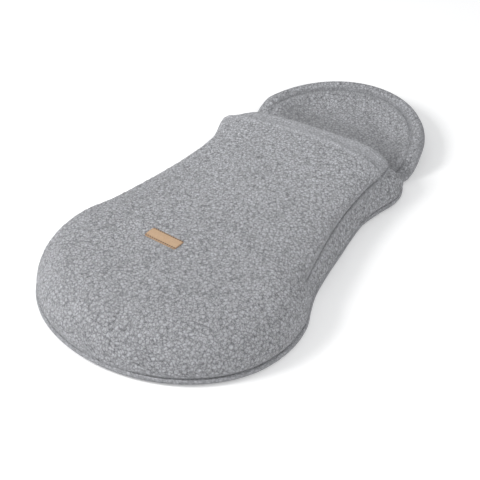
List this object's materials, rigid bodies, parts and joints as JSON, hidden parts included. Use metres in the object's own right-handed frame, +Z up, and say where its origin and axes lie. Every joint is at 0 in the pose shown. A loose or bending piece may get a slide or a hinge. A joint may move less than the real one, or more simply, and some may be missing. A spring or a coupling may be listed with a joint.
{
  "type": "stroller sleeping bag",
  "caption": "Padded teddy-fleece sleeping bag for a stroller or carrycot, with a fold-back front between two side zips and harness slots in the back.",
  "frame": {"origin": "on the floor under the middle of the bag's bounding box", "axes": "+X right seen from the foot end, +Y from the foot to the head, +Z up; the bag lies flat on its back panel"},
  "size_m": [0.4192, 0.805, 0.0912],
  "materials": {
    "boucle_fleece": "light grey curly teddy fleece, short looped pile",
    "wadding": "white polyester wadding",
    "lining_jersey": "soft grey knitted lining",
    "tan_leather": "natural tan leather, matt, bare",
    "label_thread": "dark brown sewing thread",
    "woven_tape": "grey woven tape",
    "zip_coil": "grey nylon coil",
    "grey_enamel": "grey enamelled zinc"
  },
  "bodies": {
    "back": {"back_lining": "boucle_fleece", "back_shell": "boucle_fleece", "back_wadding": "wadding", "crotch_slot_binding": "woven_tape", "foot_lining": "lining_jersey", "foot_shell": "boucle_fleece", "foot_wadding": "wadding", "head_border": "boucle_fleece", "label_thread_foot": "label_thread", "label_thread_head": "label_thread", "leather_label": "tan_leather", "left_bottom_stop": "grey_enamel", "left_shoulder_slot_binding": "woven_tape", "left_side_coil": "zip_coil", "left_side_lining": "lining_jersey", "left_side_shell": "boucle_fleece", "left_side_tape": "woven_tape", "left_side_wadding": "wadding", "left_top_stop": "grey_enamel", "left_waist_slot_binding": "woven_tape", "right_bottom_stop": "grey_enamel", "right_shoulder_slot_binding": "woven_tape", "right_side_coil": "zip_coil", "right_side_lining": "lining_jersey", "right_side_shell": "boucle_fleece", "right_side_tape": "woven_tape", "right_side_wadding": "wadding", "right_top_stop": "grey_enamel", "right_waist_slot_binding": "woven_tape"},
    "flap": {"flap_lining": "lining_jersey", "flap_shell": "boucle_fleece", "flap_wadding": "wadding", "hem_band": "boucle_fleece", "left_flap_coil": "zip_coil", "left_flap_tape": "woven_tape", "right_flap_coil": "zip_coil", "right_flap_tape": "woven_tape"},
    "left_slider": {"left_slider": "grey_enamel"},
    "left_puller": {"left_puller": "grey_enamel"},
    "right_slider": {"right_slider": "grey_enamel"},
    "right_puller": {"right_puller": "grey_enamel"}
  },
  "joints": [
    {"name": "flap_fold", "type": "hinge", "parent": "back", "child": "flap", "pos_m": [0, -0.13535, 0.0889], "axis": [1, 0, 0], "range_deg": [0, 175]},
    {"name": "left_zip_slide", "type": "slide", "parent": "back", "child": "left_slider", "axis": [-0.0496, -0.9988, 0], "range_m": [0, 0.09]},
    {"name": "left_puller_swing", "type": "hinge", "parent": "left_slider", "child": "left_puller", "pos_m": [-0.14037, 0.15993, 0.0557], "axis": [0, 0, 1], "range_deg": [0, 150]},
    {"name": "right_zip_slide", "type": "slide", "parent": "back", "child": "right_slider", "axis": [0.0496, -0.9988, 0], "range_m": [0, 0.09]},
    {"name": "right_puller_swing", "type": "hinge", "parent": "right_slider", "child": "right_puller", "pos_m": [0.14037, 0.15993, 0.0557], "axis": [0, 0, -1], "range_deg": [0, 150]}
  ]
}
